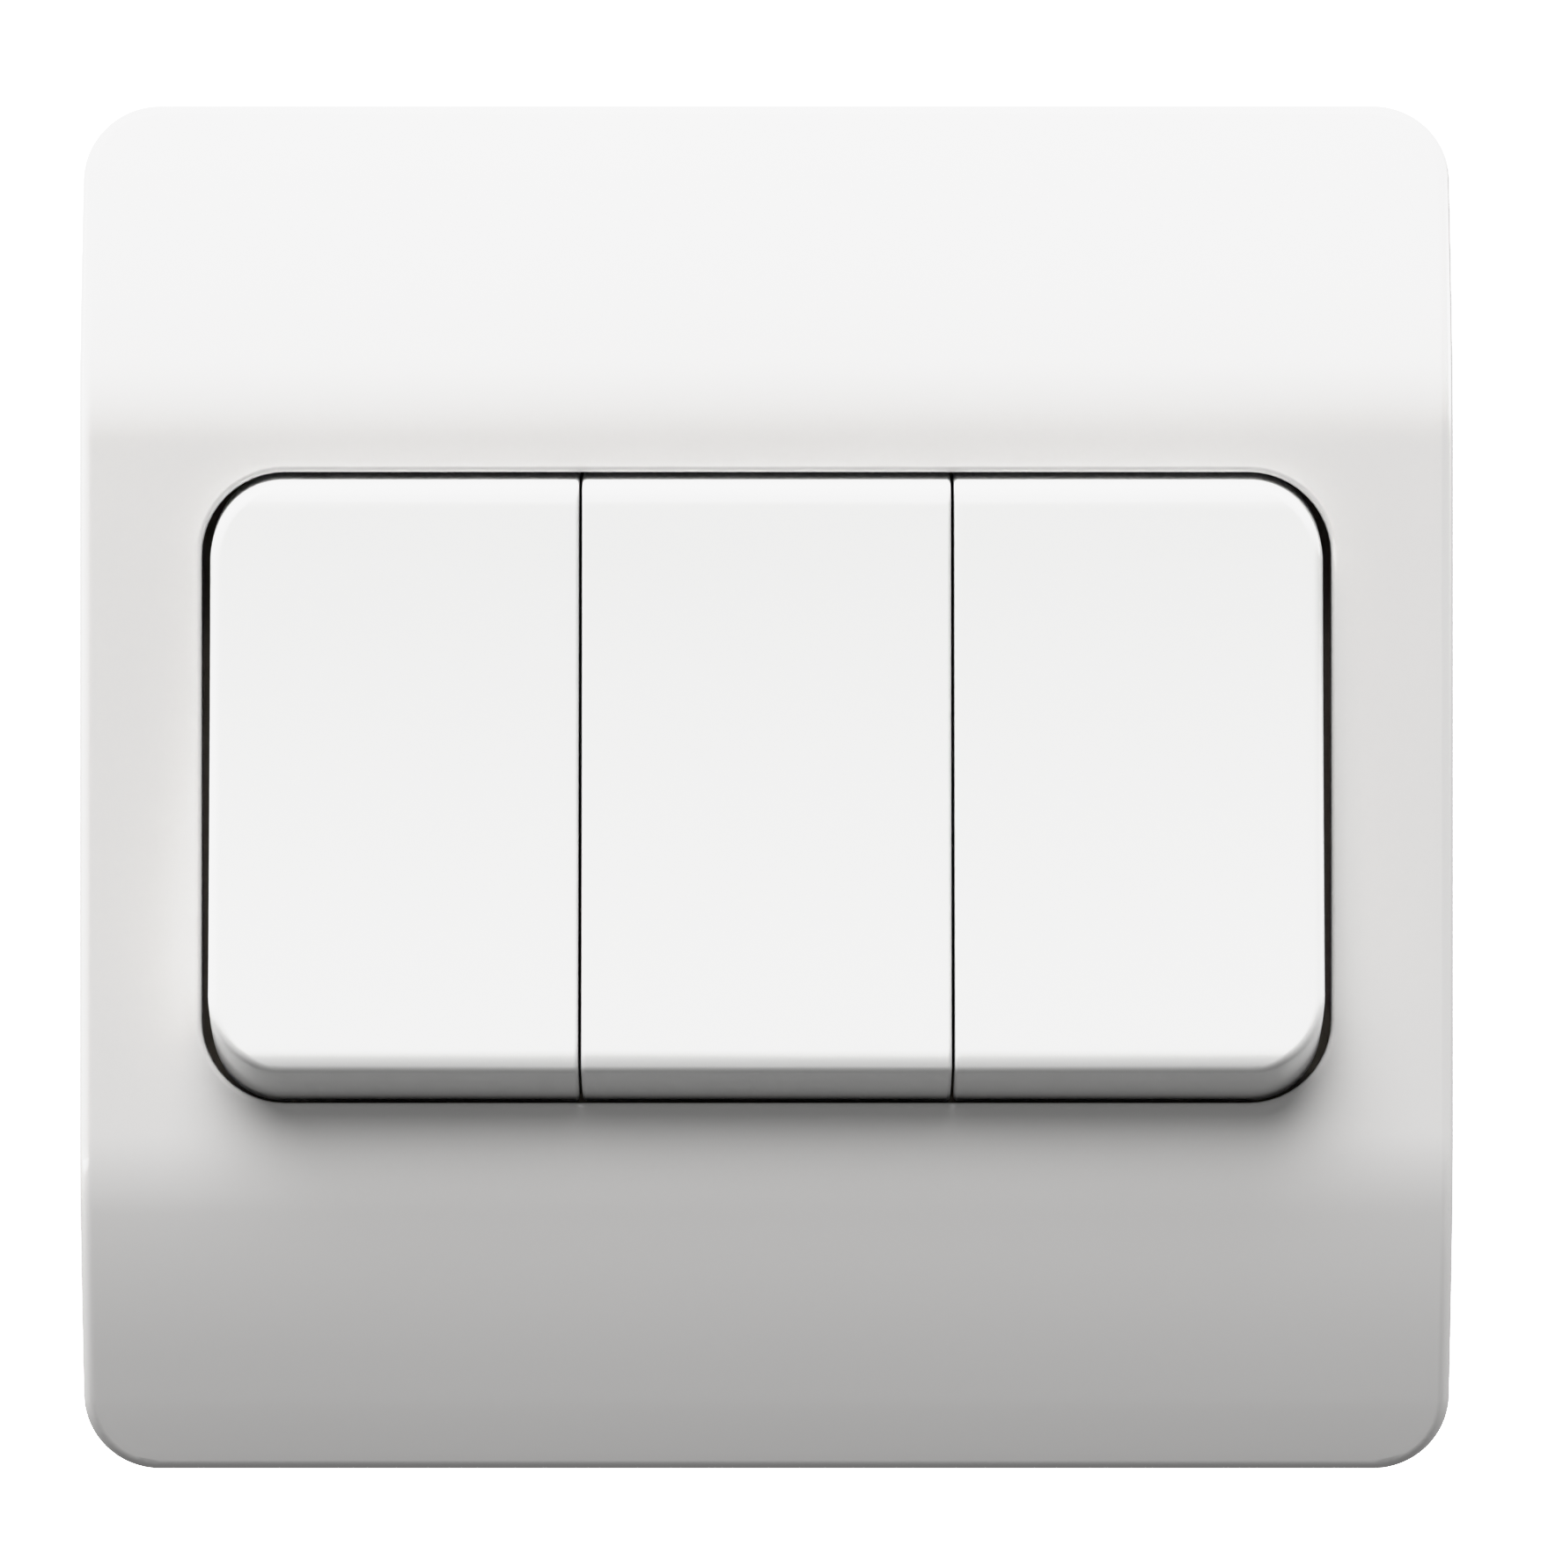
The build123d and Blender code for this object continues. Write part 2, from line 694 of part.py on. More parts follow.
def terminal_screws(gang):
    tip = wire_depth + wire_r + 0.1
    under = pillar_back + 1.0
    head = housing_back - through_gap - under
    screws = []
    for x, z in terminal_places(gang):
        screws.append(slotted_screw(x, z, tip, under, terminal_head_r, head, terminal_screw_r))
    return screws


def bay_pads(gang, inner_z):
    """What stands in one mechanism bay: the barrier and the seats of the three terminals."""
    x = gang_x(gang)
    half = barrier_thickness / 2
    sunk = floor_y + weld
    edge = inner_z + weld
    pads = box(x - half, x + half, pillar_front - 1, sunk, -edge, -pillar_start - 2 * apart)
    pad_half = pillar_width / 2 + weld
    pad_start = pillar_start + barrier_thickness
    for px, pz in terminal_places(gang):
        side = math.copysign(1, pz)
        pads += box(px - pad_half, px + pad_half, pillar_back, sunk, side * pad_start, side * edge)
    return pads


def switch_base():
    body = slab(housing_width, housing_height, housing_corner_r, frame_back, housing_back)
    body = fillet(body.faces().sort_by(Axis.Y)[-1].edges(), housing_edge_r)
    inner_z = housing_height / 2 - housing_wall
    half_bay = bay_width / 2
    half_core = (gang_pitch - bay_width) / 2 - partition_wall
    for gang in range(3):
        x = gang_x(gang)
        body -= box(x - half_bay, x + half_bay, frame_back - 1, floor_y, -inner_z, inner_z)
    for side in (-1, 1):
        x = side * gang_pitch / 2
        body -= box(x - half_core, x + half_core, frame_back - 1, floor_y, -inner_z, inner_z)
    for gang in range(3):
        body += bay_pads(gang, inner_z)
        for x, z in terminal_places(gang):
            body -= rod_y(x, z, pillar_back - 1, housing_back + 1, terminal_head_r + apart)
            side = math.copysign(1, z)
            entry_r = wire_r + wire_entry_gap
            body -= rod_z(x, wire_depth, side * (inner_z - weld), side * (housing_height / 2 + 1), entry_r)
    ear_back = frame_back + ear_thickness
    for x, z in ear_places():
        wall = math.copysign(housing_height / 2 - 0.5, z)
        body += rod_y(x, z, frame_back, ear_back, ear_r)
        body += box(x - ear_r, x + ear_r, frame_back, ear_back, wall, z)
        body -= rod_y(x, z, frame_back - 1, ear_back + 1, small_screw_r + through_gap)
    return body


def housing_screws():
    under = frame_back + ear_thickness
    tip = frame_y - boss_height + 3 * apart
    places = ear_places()
    return [slotted_screw(x, z, tip, under, small_head_r, housing_head, small_screw_r) for x, z in places]


def frame_screws():
    tip = front_y + plate_wall + 3 * apart
    places = flange_places()
    return [slotted_screw(x, z, tip, frame_back, small_head_r, flange_head, small_screw_r) for x, z in places]


def fixing_screw(x):
    """A countersunk M3.5 screw with a plain neck under its head."""
    cone = Cone(fixing_neck_r, fixing_head_r, fixing_head)
    head = Pos(x, frame_y + fixing_head / 2, 0) * Rot(90, 0, 0) * cone
    head += rod_y(x, 0, frame_y - fixing_head_rim, frame_y, fixing_head_r)
    slot = fixing_head_rim
    head -= box(x - fixing_head_r, x + fixing_head_r, frame_y - 1, frame_y + slot, -slot, slot)
    neck = rod_y(x, 0, frame_y + fixing_head - weld / 2, fixing_neck_end, fixing_neck_r)
    shank = rod_y(x, 0, fixing_neck_end, fixing_end, fixing_screw_r)
    shank = chamfer(shank.edges().filter_by(GeomType.CIRCLE), screw_chamfer)
    return head + neck + shank


def fixing_screws():
    return [fixing_screw(side * fixing_centres / 2) for side in (-1, 1)]


def save(node, pieces):
    solids = []
    for piece in pieces if isinstance(pieces, list) else [pieces]:
        solids += piece.solids()
    export_step(Compound(children=solids) if len(solids) > 1 else solids[0], f"parts/{node}.step")
    print(node, len(solids), round(sum(s.volume for s in solids), 2))


os.makedirs("parts", exist_ok=True)
save("front_plate", front_plate())
save("bearing_frame", bearing_frame())
save("switch_base", switch_base())
save("housing_screws", housing_screws())
save("frame_screws", frame_screws())
save("fixing_screws", fixing_screws())
for gang, name in enumerate(gang_names):
    save(f"rocker_cap_{name}", in_rest_place(rocker_cap(gang)))
    save(f"rocker_carrier_{name}", in_rest_place(rocker_carrier(gang)))
    save(f"plunger_{name}", in_rest_place(plunger(gang)))
    save(f"plunger_spring_{name}", in_rest_place(plunger_spring(gang)))
    save(f"moving_contact_{name}", moving_contact(gang))
    save(f"moving_contact_tips_{name}", moving_contact_tips(gang))
    save(f"common_terminal_{name}", common_terminal(gang))
    save(f"l1_terminal_{name}", l1_terminal(gang))
    save(f"l2_terminal_{name}", l2_terminal(gang))
    save(f"fixed_contact_tips_{name}", fixed_contact_tips(gang))
    save(f"terminal_screws_{name}", terminal_screws(gang))
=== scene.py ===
import bpy, math
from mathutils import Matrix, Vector


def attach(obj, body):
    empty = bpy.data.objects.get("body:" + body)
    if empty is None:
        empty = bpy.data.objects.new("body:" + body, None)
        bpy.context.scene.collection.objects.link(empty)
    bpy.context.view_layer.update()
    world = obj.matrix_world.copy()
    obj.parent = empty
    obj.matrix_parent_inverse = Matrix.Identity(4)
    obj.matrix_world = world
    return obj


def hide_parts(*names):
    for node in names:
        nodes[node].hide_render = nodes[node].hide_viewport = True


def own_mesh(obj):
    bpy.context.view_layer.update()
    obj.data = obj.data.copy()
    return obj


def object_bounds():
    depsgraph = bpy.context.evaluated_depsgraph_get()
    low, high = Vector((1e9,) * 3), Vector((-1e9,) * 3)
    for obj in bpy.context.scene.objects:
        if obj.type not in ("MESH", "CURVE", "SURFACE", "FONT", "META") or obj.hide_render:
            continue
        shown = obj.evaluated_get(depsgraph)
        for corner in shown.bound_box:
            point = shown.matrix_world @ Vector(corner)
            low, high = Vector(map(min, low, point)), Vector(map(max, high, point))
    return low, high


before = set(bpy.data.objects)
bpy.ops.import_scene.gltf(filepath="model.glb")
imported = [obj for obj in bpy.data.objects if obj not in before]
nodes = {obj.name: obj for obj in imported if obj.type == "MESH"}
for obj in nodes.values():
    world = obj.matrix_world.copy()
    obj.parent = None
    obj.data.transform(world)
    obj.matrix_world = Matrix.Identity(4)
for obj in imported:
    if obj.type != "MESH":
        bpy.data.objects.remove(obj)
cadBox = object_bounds()
mm = 0.001
gangs = ("left", "middle", "right")

smoothing = {
    "plate": 40,             # degrees between two faces up to which they shade as one
    "rocker": 40,
    "screw": 35,
    "frame": 30,
    "flatWeight": 90,        # how strongly the large faces set the shading of a rounded edge
    "weldCad": 0.002,        # mm, corners nearer than this become one
    "weldTurned": 0.001,
}


def hexColour(text):
    # sRGB hex to the linear values Blender wants
    parts = [int(text[i:i + 2], 16) / 255 for i in (1, 3, 5)]
    return [c / 12.92 if c <= 0.04045 else ((c + 0.055) / 1.055) ** 2.4 for c in parts] + [1.0]


def addNode(tree, kind, links=(), **settings):
    # one node with its settings, links = (socket of this node, output it reads)
    node = tree.nodes.new(kind)
    for name, value in settings.items():
        if hasattr(node, name):
            setattr(node, name, value)
        else:
            node.inputs[name.replace("_", " ")].default_value = value
    for socket, source in links:
        tree.links.new(source, node.inputs[socket])
    return node


def newMaterial(name):
    material = bpy.data.materials.new(name)
    material.use_nodes = True
    tree = material.node_tree
    shader = tree.nodes["Principled BSDF"]
    coordinates = tree.nodes.new("ShaderNodeTexCoord").outputs["Object"]
    return material, tree, shader, coordinates


def deselectAll():
    if bpy.context.object and bpy.context.object.mode != "OBJECT":
        bpy.ops.object.mode_set(mode="OBJECT")
    bpy.ops.object.select_all(action="DESELECT")


def makeActive(thing):
    deselectAll()
    thing.select_set(True)
    bpy.context.view_layer.objects.active = thing


def smoothCopy(node, name, angle):
    # the CAD shape with its triangles joined up, so that round surfaces shade round
    piece = nodes[node].copy()
    piece.data = nodes[node].data.copy()
    piece.name = name
    piece.data.name = name
    for key in list(piece.keys()):
        del piece[key]
    piece.parent = None
    bpy.context.scene.collection.objects.link(piece)
    makeActive(piece)
    piece.data.materials.clear()
    bpy.ops.object.mode_set(mode="EDIT")
    bpy.ops.mesh.select_all(action="SELECT")
    bpy.ops.mesh.remove_doubles(threshold=smoothing["weldCad"] * mm)
    bpy.ops.object.mode_set(mode="OBJECT")
    bpy.ops.object.shade_smooth_by_angle(angle=math.radians(angle))
    # large flat faces keep their own direction next to small round ones
    flatter = piece.modifiers.new("flatFaces", "WEIGHTED_NORMAL")
    flatter.keep_sharp = True
    flatter.weight = smoothing["flatWeight"]
    bpy.ops.object.modifier_apply(modifier=flatter.name)
    return piece


def standIn(node, name, angle, finish, body):
    # a smooth copy with its finish, shown in the place of the CAD node and moving with its body
    piece = smoothCopy(node, name, angle)
    piece.data.materials.append(finish)
    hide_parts(node)
    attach(piece, body)
    return piece


mouldedWhite = {
    "plate": "#ecebea",          # bright neutral white
    "rocker": "#f7f7f6",         # painted light: a touch whiter than the plate, standing in for the brighter light on the tilted rocker faces
    "plateRoughness": 0.34,
    "rockerRoughness": 0.30,
    "peelSize": 1.1,             # mm between the soft hills of the moulded skin
    "peelDepth": 0.010,          # mm
    "sparkSize": 0.09,           # mm, the fine spark-eroded grain
    "sparkDepth": 0.0025,        # mm
}

# what the finishes have in common
sharedFinish = {
    "driftSize": 25.0,           # mm between slow changes of tone and gloss
    "glossSpread": 0.08,         # share by which the roughness drifts
    "peelStrength": 0.35,
    "grainStrength": 0.4,
    "tarnishPerMetre": 420.0,    # patches about 2.4 mm across
    "toolLineDepth": 0.006,      # mm
}


def mouldedPlastic(name, colour, roughness, peelSize=1.1, peelDepth=0.01, grainSize=0.09, grainDepth=0.0025,
                   cloud=0.02, ior=1.52):
    # injection-moulded skin: even colour, soft orange peel and a very fine grain that spreads the highlights,
    # with sizes in mm and cloud as the share by which the tone drifts
    material, tree, shader, where = newMaterial(name)
    shader.inputs["IOR"].default_value = ior
    drift = addNode(tree, "ShaderNodeTexNoise", [("Vector", where)],
                    Scale=1000 / sharedFinish["driftSize"], Detail=3.0)
    darker = [c * (1 - cloud) for c in colour[:3]] + [1.0]
    tint = addNode(tree, "ShaderNodeMix", data_type="RGBA")
    tree.links.new(drift.outputs["Fac"], tint.inputs["Factor"])
    tint.inputs[6].default_value = darker
    tint.inputs[7].default_value = colour
    tree.links.new(tint.outputs[2], shader.inputs["Base Color"])
    peel = addNode(tree, "ShaderNodeTexNoise", [("Vector", where)], Scale=1000 / peelSize, Detail=1.0)
    grain = addNode(tree, "ShaderNodeTexNoise", [("Vector", where)], Scale=1000 / grainSize, Detail=2.0)
    gloss = addNode(tree, "ShaderNodeMapRange", [("Value", drift.outputs["Fac"])],
                    To_Min=roughness * (1 - sharedFinish["glossSpread"]),
                    To_Max=roughness * (1 + sharedFinish["glossSpread"]))
    tree.links.new(gloss.outputs["Result"], shader.inputs["Roughness"])
    hills = addNode(tree, "ShaderNodeBump", [("Height", peel.outputs["Fac"])],
                    Strength=sharedFinish["peelStrength"], Distance=peelDepth * mm)
    pores = addNode(tree, "ShaderNodeBump",
                    [("Height", grain.outputs["Fac"]), ("Normal", hills.outputs["Normal"])],
                    Strength=sharedFinish["grainStrength"], Distance=grainDepth * mm)
    tree.links.new(pores.outputs["Normal"], shader.inputs["Normal"])
    return material


def workedMetal(name, colour, roughness, lineSize, along, tarnish, tarnishShare=0.25):
    # turned, rolled or plated metal: fine tool lines lineSize mm apart, longest where along is small,
    # and a little darker tarnish in patches
    material, tree, shader, where = newMaterial(name)
    shader.inputs["Metallic"].default_value = 1.0
    stretch = addNode(tree, "ShaderNodeMapping", [("Vector", where)])
    stretch.inputs["Scale"].default_value = along
    lines = addNode(tree, "ShaderNodeTexNoise", [("Vector", stretch.outputs["Vector"])],
                    Scale=1000 / lineSize, Detail=2.0)
    patches = addNode(tree, "ShaderNodeTexNoise", [("Vector", where)],
                      Scale=sharedFinish["tarnishPerMetre"], Detail=4.0, Roughness=0.65)
    share = addNode(tree, "ShaderNodeMapRange", [("Value", patches.outputs["Fac"])],
                    From_Min=0.45, From_Max=0.75, To_Min=0.0, To_Max=tarnishShare)
    tint = addNode(tree, "ShaderNodeMix", data_type="RGBA")
    tree.links.new(share.outputs["Result"], tint.inputs["Factor"])
    tint.inputs[6].default_value = colour
    tint.inputs[7].default_value = hexColour(tarnish)
    tree.links.new(tint.outputs[2], shader.inputs["Base Color"])
    gloss = addNode(tree, "ShaderNodeMapRange", [("Value", lines.outputs["Fac"])],
                    To_Min=roughness * 0.75, To_Max=roughness * 1.3)
    tree.links.new(gloss.outputs["Result"], shader.inputs["Roughness"])
    bump = addNode(tree, "ShaderNodeBump", [("Height", lines.outputs["Fac"])],
                   Strength=sharedFinish["grainStrength"], Distance=sharedFinish["toolLineDepth"] * mm)
    tree.links.new(bump.outputs["Normal"], shader.inputs["Normal"])
    return material


# pressed urea: dense, bright and only softly glossy
ureaWhite = mouldedPlastic("ureaWhite", hexColour(mouldedWhite["plate"]), mouldedWhite["plateRoughness"],
                           mouldedWhite["peelSize"], mouldedWhite["peelDepth"],
                           mouldedWhite["sparkSize"], mouldedWhite["sparkDepth"])
# moulded polycarbonate: a little smoother and shinier than the plate, its whiter colour painted light for the
# brighter rocker faces
polycarbonateWhite = mouldedPlastic("polycarbonateWhite", hexColour(mouldedWhite["rocker"]),
                                    mouldedWhite["rockerRoughness"], 1.3, 0.008, 0.09, 0.002, ior=1.58)
# moulded nylon: warm grey, dull and slightly blotchy
nylonGrey = mouldedPlastic("nylonGrey", hexColour("#aaa295"), 0.55, 0.8, 0.02, 0.12, 0.006, cloud=0.12)
# thermoset housing: cream and dull with a coarser skin
thermosetCream = mouldedPlastic("thermosetCream", hexColour("#e4e2da"), 0.5,
                                0.7, 0.02, 0.15, 0.008, cloud=0.07)
# acetal: waxy and slippery, natural for the carriers and brown for the plungers
acetalNatural = mouldedPlastic("acetalNatural", hexColour("#e9e8e2"), 0.4,
                               0.9, 0.01, 0.1, 0.003, cloud=0.05, ior=1.48)
acetalBrown = mouldedPlastic("acetalBrown", hexColour("#7c3a24"), 0.4,
                             0.9, 0.01, 0.1, 0.003, cloud=0.1, ior=1.48)
# terminals sawn and drilled from drawn brass, so the lines run up and down
machinedBrass = workedMetal("machinedBrass", hexColour("#d9b36c"), 0.28, 0.2, (1, 1, 0.12), "#8a6a35")
# see-saw contacts stamped from rolled copper
rolledCopper = workedMetal("rolledCopper", hexColour("#d58b62"), 0.3, 0.15, (1, 1, 0.1), "#7a4328")
# riveted silver alloy tips
contactSilver = workedMetal("contactSilver", hexColour("#dcd9d2"), 0.25, 0.1, (1, 1, 1), "#8e8a80")
# bright zinc on the small screws, warmer nickel on the long ones
zincPlate = workedMetal("zincPlate", hexColour("#c9ccd0"), 0.3, 0.3, (1, 1, 1), "#8f9499", 0.3)
nickelPlate = workedMetal("nickelPlate", hexColour("#cfcac0"), 0.22, 0.3, (1, 0.2, 1), "#9c968a", 0.3)
# drawn spring wire
springWire = workedMetal("springWire", hexColour("#b9bbbd"), 0.3, 0.1, (1, 1, 1), "#7d7f82")
print("materials ready")

# the parts that are seen in use
standIn("front_plate", "curvedPlate", smoothing["plate"], ureaWhite, "switch")
for gang in gangs:
    standIn(f"rocker_cap_{gang}", f"wideRocker.{gang}", smoothing["rocker"],
            polycarbonateWhite, f"rocker_{gang}")
print("plate and rockers ready")

# the two long screws that hold the switch to its wall box, with their real thread
fixingScrew = {
    "crest": 1.75,          # radius of the thread's crests, for M3.5, all sizes here in mm
    "root": 1.42,           # radius between the threads
    "pitch": 0.6,
    "threadFrom": 0.8,      # depth from the wall surface where the thread starts
    "end": 22.0,            # depth of the screw's end
    "neck": 1.45,           # plain shank under the head
    "head": 3.2,
    "headFrom": -3.6,
    "headRim": 0.4,
    "headCrown": 0.1,       # the head's front edge is rounded off by this much
    "countersink": 1.75,
    "slotWidth": 0.8,
    "slotDepth": 0.8,
    "pointLength": 0.4,
    "pointChamfer": 0.25,
    "clear": 0.01,          # the end stops this far inside the CAD box, and the head twice as far
    "centres": 60.3,
    "threadSteps": 40,
    "turnSteps": 48,
}


def profileObject(name, points):
    # a run of points in the plane through the Y axis, as a plain edge line
    mesh = bpy.data.meshes.new(name)
    corners = [(x * mm, y * mm, 0) for x, y in points]
    mesh.from_pydata(corners, [(i, i + 1) for i in range(len(corners) - 1)], [])
    line = bpy.data.objects.new(name, mesh)
    bpy.context.scene.collection.objects.link(line)
    return line


def windThread(size):
    # one tooth wound round Y by a Screw modifier, then cut square at both ends
    half = size["pitch"] / 2
    flat = size["pitch"] / 8
    start = size["threadFrom"] - size["pitch"]
    tooth = profileObject("thread", [
        (size["root"], start), (size["root"], start + flat), (size["crest"], start + half - flat / 2),
        (size["crest"], start + half + flat / 2), (size["root"], start + size["pitch"])])
    makeActive(tooth)
    winding = tooth.modifiers.new("winding", "SCREW")
    winding.axis = "Y"
    winding.screw_offset = size["pitch"] * mm
    winding.iterations = int((size["end"] - size["threadFrom"]) / size["pitch"]) + 3
    winding.steps = winding.render_steps = size["threadSteps"]
    winding.use_merge_vertices = False
    bpy.ops.object.modifier_apply(modifier="winding")
    bpy.ops.object.mode_set(mode="EDIT")
    bpy.ops.mesh.select_all(action="SELECT")
    bpy.ops.mesh.remove_doubles(threshold=smoothing["weldTurned"] * mm)
    for place, inner in ((size["threadFrom"], True), (size["end"] - size["pointChamfer"], False)):
        bpy.ops.mesh.select_all(action="SELECT")
        bpy.ops.mesh.bisect(plane_co=(0, place * mm, 0), plane_no=(0, 1, 0), use_fill=True,
                            clear_inner=inner, clear_outer=not inner)
    bpy.ops.mesh.select_all(action="SELECT")
    bpy.ops.mesh.normals_make_consistent(inside=False)
    bpy.ops.object.mode_set(mode="OBJECT")
    return tooth


def spinProfile(name, points, steps):
    # a closed turned piece: the points are spun a full turn round Y
    line = profileObject(name, points)
    makeActive(line)
    bpy.ops.object.mode_set(mode="EDIT")
    bpy.ops.mesh.select_all(action="SELECT")
    bpy.ops.mesh.spin(steps=steps, angle=math.radians(360), center=(0, 0, 0), axis=(0, 1, 0))
    bpy.ops.mesh.select_all(action="SELECT")
    bpy.ops.mesh.remove_doubles(threshold=smoothing["weldTurned"] * mm)
    bpy.ops.mesh.normals_make_consistent(inside=False)
    bpy.ops.object.mode_set(mode="OBJECT")
    return line


def cutSlot(target, width, depth, front, length):
    # a square slot sunk into a screw head from the front, cut by a block that stands out 1 mm
    standOut = 1
    deselectAll()
    bpy.ops.mesh.primitive_cube_add(size=1, location=(0, (front + depth / 2 - standOut / 2) * mm, 0))
    blade = bpy.context.object
    blade.scale = (length * mm, (depth + standOut) * mm, width * mm)
    bpy.ops.object.transform_apply(location=True, rotation=False, scale=True)
    makeActive(target)
    cut = target.modifiers.new("slot", "BOOLEAN")
    cut.operation = "DIFFERENCE"
    cut.solver = "EXACT"
    cut.object = blade
    bpy.ops.object.modifier_apply(modifier="slot")
    bpy.data.objects.remove(blade)


size = fixingScrew
headFront = size["headFrom"] + 2 * size["clear"]
headBack = size["headFrom"] + size["headRim"] + size["countersink"]
head = spinProfile("countersunkHead", [
    (0, headFront),
    (size["head"] * 0.9, headFront),
    (size["head"] * 0.985, size["headFrom"] + size["headCrown"]),
    (size["head"], size["headFrom"] + size["headRim"]),
    (size["neck"], headBack),
    (size["neck"], size["threadFrom"] - 0.3),
    (size["root"], size["threadFrom"] + 0.1),
    (0, size["threadFrom"] + 0.1),
], size["turnSteps"])
cutSlot(head, size["slotWidth"], size["slotDepth"], size["headFrom"], size["head"] * 3)
# the plain end under the last thread, chamfered so that it finds its hole
pointStart = size["end"] - size["pointLength"]
pointEnd = size["end"] - size["clear"]
point = spinProfile("leadPoint", [
    (0, pointStart),
    (size["root"] + 0.12, pointStart),
    (size["root"] + 0.1, size["end"] - 0.28),
    (size["root"] - size["pointChamfer"], pointEnd),
    (0, pointEnd),
], size["turnSteps"])
screw = windThread(size)
makeActive(screw)
head.select_set(True)
point.select_set(True)
bpy.ops.object.join()
screw.data.materials.append(nickelPlate)
bpy.ops.object.shade_smooth_by_angle(angle=math.radians(smoothing["screw"]))
pair = [screw, screw.copy()]
pair[1].data = screw.data.copy()
bpy.context.scene.collection.objects.link(pair[1])
for turned, side in zip(pair, (-1, 1)):
    turned.name = "threadedScrew." + ("left" if side < 0 else "right")
    turned.location = (side * size["centres"] / 2 * mm, 0, 0)
    makeActive(turned)
    bpy.ops.object.transform_apply(location=True, rotation=True, scale=True)
    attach(turned, "switch")
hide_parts("fixing_screws")
print("fixing screws ready")

# CAD node: its smooth copy, finish, slot and body
roundPieces = {
    "housing_screws": ("housingScrews", zincPlate, "zinc_steel", "switch"),
    "frame_screws": ("frameScrews", zincPlate, "zinc_steel", "switch"),
}
for gang in gangs:
    roundPieces.update({
        f"terminal_screws_{gang}": (f"terminalScrews.{gang}", zincPlate, "zinc_steel", "switch"),
        f"rocker_carrier_{gang}": (f"carrier.{gang}", acetalNatural, "carrier_plastic", f"rocker_{gang}"),
        f"plunger_{gang}": (f"sprungPlunger.{gang}", acetalBrown, "plunger_plastic", f"plunger_{gang}"),
        f"fixed_contact_tips_{gang}": (f"fixedTips.{gang}", contactSilver, "silver_tips", "switch"),
        f"moving_contact_tips_{gang}": (f"movingTips.{gang}", contactSilver, "silver_tips",
                                        f"contact_{gang}"),
    })
roundPieces["bearing_frame"] = ("bearingFrame", nylonGrey, "frame_plastic", "switch")
roundPieces["switch_base"] = ("mouldedHousing", thermosetCream, "housing_plastic", "switch")
for node, (name, finish, slot, body) in roundPieces.items():
    standIn(node, name, smoothing["frame"], finish, body)

# each spring is a smooth copy with a mesh of its own, moving with its rocker
for gang in gangs:
    spring = standIn(f"plunger_spring_{gang}", f"returnSpring.{gang}", smoothing["frame"],
                     springWire, f"rocker_{gang}")
    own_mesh(spring)
print("round pieces ready")

# the flat metal pieces keep their CAD shape and get a finish
metalPieces = {
    "moving_contact": rolledCopper,
    "common_terminal": machinedBrass,
    "l1_terminal": machinedBrass,
    "l2_terminal": machinedBrass,
}
for gang in gangs:
    for name, finish in metalPieces.items():
        coats = nodes[f"{name}_{gang}"].data.materials
        coats.clear()
        coats.append(finish)
print("finishes ready")

# camera, light and backdrop, in metres and watts unless a note says otherwise
studio = {
    "cameraDistance": 0.541,    # metres in front of the rockers
    "lens": 200.0,              # mm
    "sensorWidth": 36.0,        # mm
    "aimX": 0.00047,
    "aimZ": 0.00022,
    "keyHeight": 64,            # degrees above the line from the switch to the camera
    "keySide": -8,              # degrees to the left
    "keyDistance": 3.0,
    "keySize": 3.0,
    "keyPower": 176.0,
    "rearPower": 7.0,
    "sidePower": 4.5,
    "ambient": 0.2,
    "brightest": 4.0,           # the light value at the top of the tone curve
    "shoulder": ((0.3, 0.3), (0.7, 0.7), (0.93, 0.895), (1.15, 0.915), (1.7, 0.93), (3.0, 0.95)),
    "shellRadius": 4.0,
    "shellGlow": 6.0,
    "floorRadius": 0.17,
    "floorDrop": 0.022,         # metres from the plate's lower edge down to the floor
}

scene = bpy.context.scene
scene.view_settings.view_transform = "Standard"
scene.view_settings.look = "None"

# a soft shoulder, so the brightest whites keep their shape instead of burning out
scene.view_settings.use_curve_mapping = True
shoulder = scene.view_settings.curve_mapping
shoulder.white_level = [studio["brightest"]] * 3
tone = shoulder.curves[3]
for bright, shown in studio["shoulder"]:
    tone.points.new(bright / studio["brightest"], shown)
tone.points[0].handle_type = "VECTOR"
tone.points[1].handle_type = "VECTOR"
shoulder.update()

camera = bpy.data.objects.new("camera", bpy.data.cameras.new("camera"))
scene.collection.objects.link(camera)
camera.data.lens = studio["lens"]
camera.data.sensor_fit = "AUTO"
camera.data.sensor_width = studio["sensorWidth"]
camera.location = (studio["aimX"], cadBox[0][1] - studio["cameraDistance"], studio["aimZ"])
camera.rotation_euler = (math.radians(90), 0, 0)
camera.data.clip_start = 0.01
scene.camera = camera


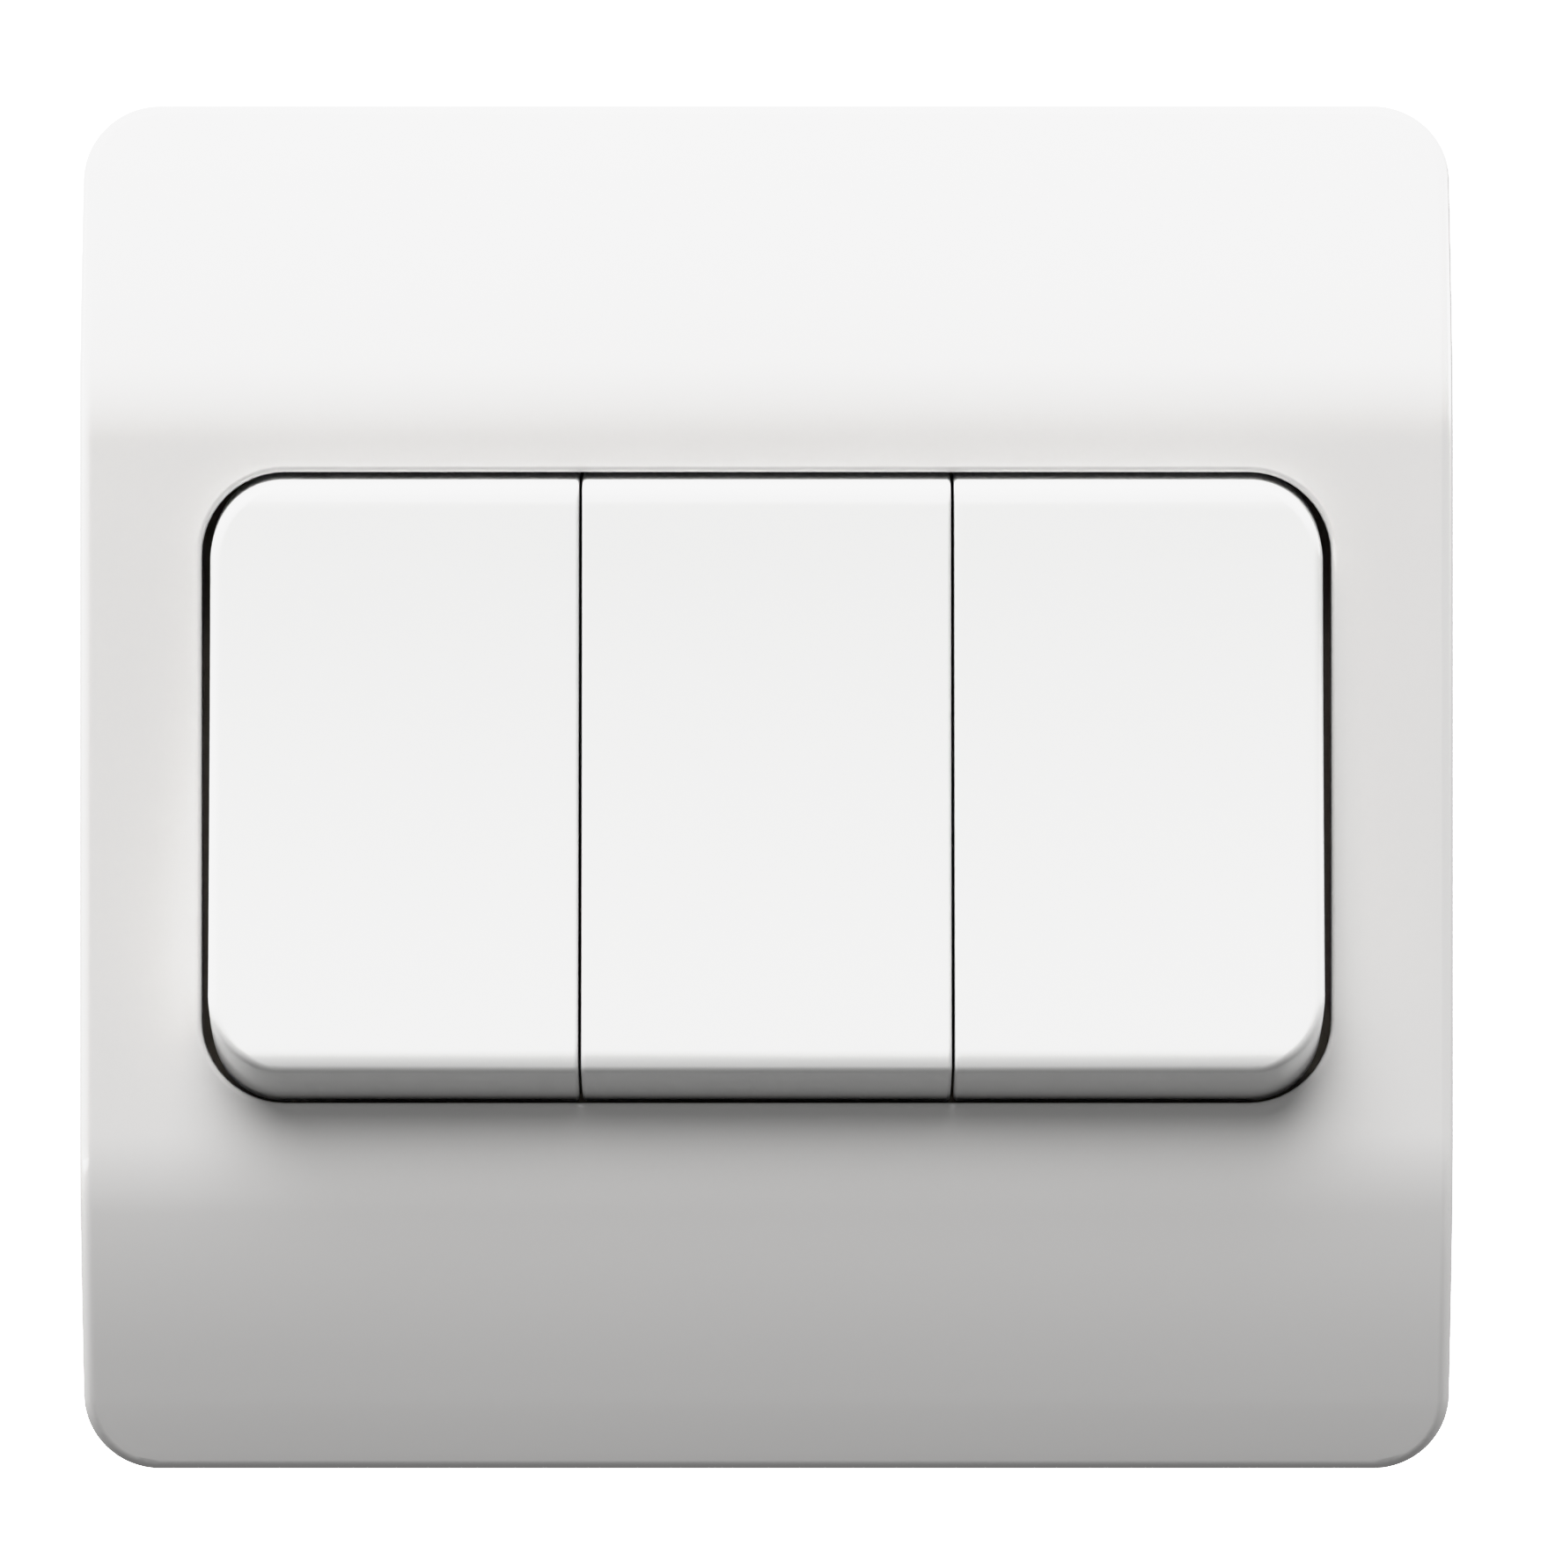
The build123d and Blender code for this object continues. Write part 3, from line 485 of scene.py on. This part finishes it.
def softLamp(name, place, size, power):
    # a round lamp that points at the switch
    lamp = bpy.data.objects.new(name, bpy.data.lights.new(name, "AREA"))
    scene.collection.objects.link(lamp)
    lamp.data.shape = "DISK"
    lamp.data.size = size
    lamp.data.energy = power
    lamp.location = place
    lamp.rotation_euler = (-lamp.location).to_track_quat("-Z", "Y").to_euler()


up = math.radians(studio["keyHeight"])
side = math.radians(studio["keySide"])
towardsKey = Vector((math.sin(side), -math.cos(up) * math.cos(side), math.sin(up) * math.cos(side)))
softLamp("keyLight", towardsKey * studio["keyDistance"], studio["keySize"], studio["keyPower"])
# weak lamps behind and beside, so the housing and the edges can be read; they stand behind the plate's face
softLamp("rearLight", (-0.35, 0.95, 0.35), 0.7, studio["rearPower"])
softLamp("leftLight", (-1.0, 0.14, 0.25), 0.2, studio["sidePower"])
softLamp("rightLight", (1.0, 0.14, 0.25), 0.2, studio["sidePower"])

world = bpy.data.worlds.new("softRoom")
scene.world = world
world.use_nodes = True
room = world.node_tree.nodes["Background"]
room.inputs["Color"].default_value = (1, 1, 1, 1)
room.inputs["Strength"].default_value = studio["ambient"]

# a white shell that only the camera sees, and a pale floor under the plate
deselectAll()
bpy.ops.mesh.primitive_uv_sphere_add(segments=48, ring_count=24, radius=studio["shellRadius"])
shell = bpy.context.object
shell.name = "whiteShell"
shellPaint, tree, shader, where = newMaterial("whiteShellPaint")
glow = addNode(tree, "ShaderNodeEmission", Strength=studio["shellGlow"])
tree.links.new(glow.outputs[0], tree.nodes["Material Output"].inputs["Surface"])
shell.data.materials.append(shellPaint)
shell.visible_diffuse = False
shell.visible_glossy = False
shell.visible_transmission = False
shell.visible_shadow = False

deselectAll()
bpy.ops.mesh.primitive_circle_add(vertices=96, radius=studio["floorRadius"], fill_type="NGON",
                                  location=(0, 0, cadBox[0][2] - studio["floorDrop"]))
floor = bpy.context.object
floor.name = "paleFloor"
# no bounce or mirror image from below, so the lower curve of the plate falls off
floor.visible_diffuse = False
floor.visible_glossy = False
floor.data.materials.append(mouldedPlastic("paleFloorPaint", hexColour("#f4f4f3"), 0.7, cloud=0.01))
print("studio ready")
